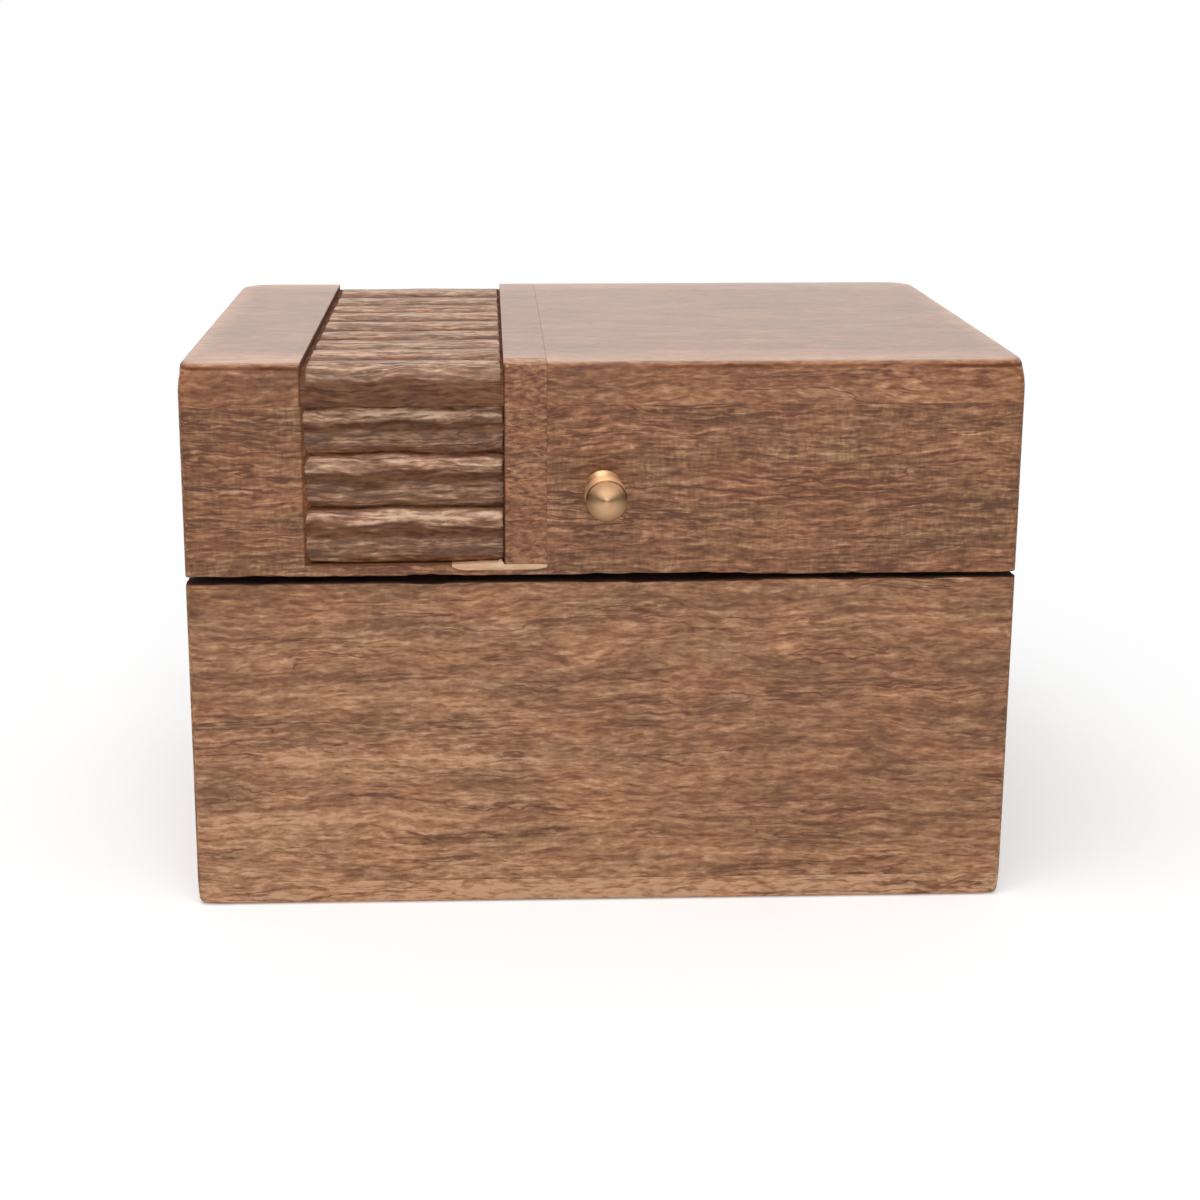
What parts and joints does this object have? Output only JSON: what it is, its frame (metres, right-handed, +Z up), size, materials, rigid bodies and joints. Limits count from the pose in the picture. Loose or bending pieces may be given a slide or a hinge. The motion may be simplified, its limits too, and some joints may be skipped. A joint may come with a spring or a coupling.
{
  "type": "recipe box",
  "caption": "Small mango-wood recipe box: mitred base, hinged lid with a carved reeded band over its top and front, and a turned brass knob.",
  "frame": {"origin": "centre of the underside of the box, measured on the bottom board without the knob or the hinge barrels", "axes": "+X to the right along the front, -Y out of the front face with the knob, +Z up"},
  "size_m": [0.18, 0.1355, 0.1228],
  "materials": {
    "mango_wood": "satin wax over sanded mango wood",
    "carved_mango_wood": "gouge-cut mango wood, darker in the cuts",
    "filler_wood": "satin wax",
    "pale_wood": "pale sapwood sliver",
    "turned_brass": "lathe-turned, lacquered",
    "hinge_brass": "drawn and filed",
    "steel": "zinc plated"
  },
  "bodies": {
    "base": {"base_bottom": "mango_wood", "base_front": "mango_wood", "base_back": "mango_wood", "base_left_side": "mango_wood", "base_right_side": "mango_wood", "hinge_left_lower_leaf": "hinge_brass", "hinge_right_lower_leaf": "hinge_brass", "hinge_left_pin": "hinge_brass", "hinge_right_pin": "hinge_brass", "base_hinge_screws": "hinge_brass"},
    "lid": {"lid_front": "mango_wood", "lid_back": "mango_wood", "lid_left_side": "mango_wood", "lid_right_side": "mango_wood", "top_left_board": "mango_wood", "top_right_board": "mango_wood", "top_filler_strip": "filler_wood", "front_filler_strip": "filler_wood", "carved_top_slab": "carved_mango_wood", "carved_front_panel": "carved_mango_wood", "light_wedge": "pale_wood", "knob": "turned_brass", "knob_screw": "steel", "hinge_left_upper_leaf": "hinge_brass", "hinge_right_upper_leaf": "hinge_brass", "lid_hinge_screws": "hinge_brass"}
  },
  "joints": [
    {"name": "lid_hinge", "type": "hinge", "parent": "base", "child": "lid", "pos_m": [0, 0.0621, 0.0754], "axis": [-1, 0, 0], "range_deg": [0, 180]}
  ]
}
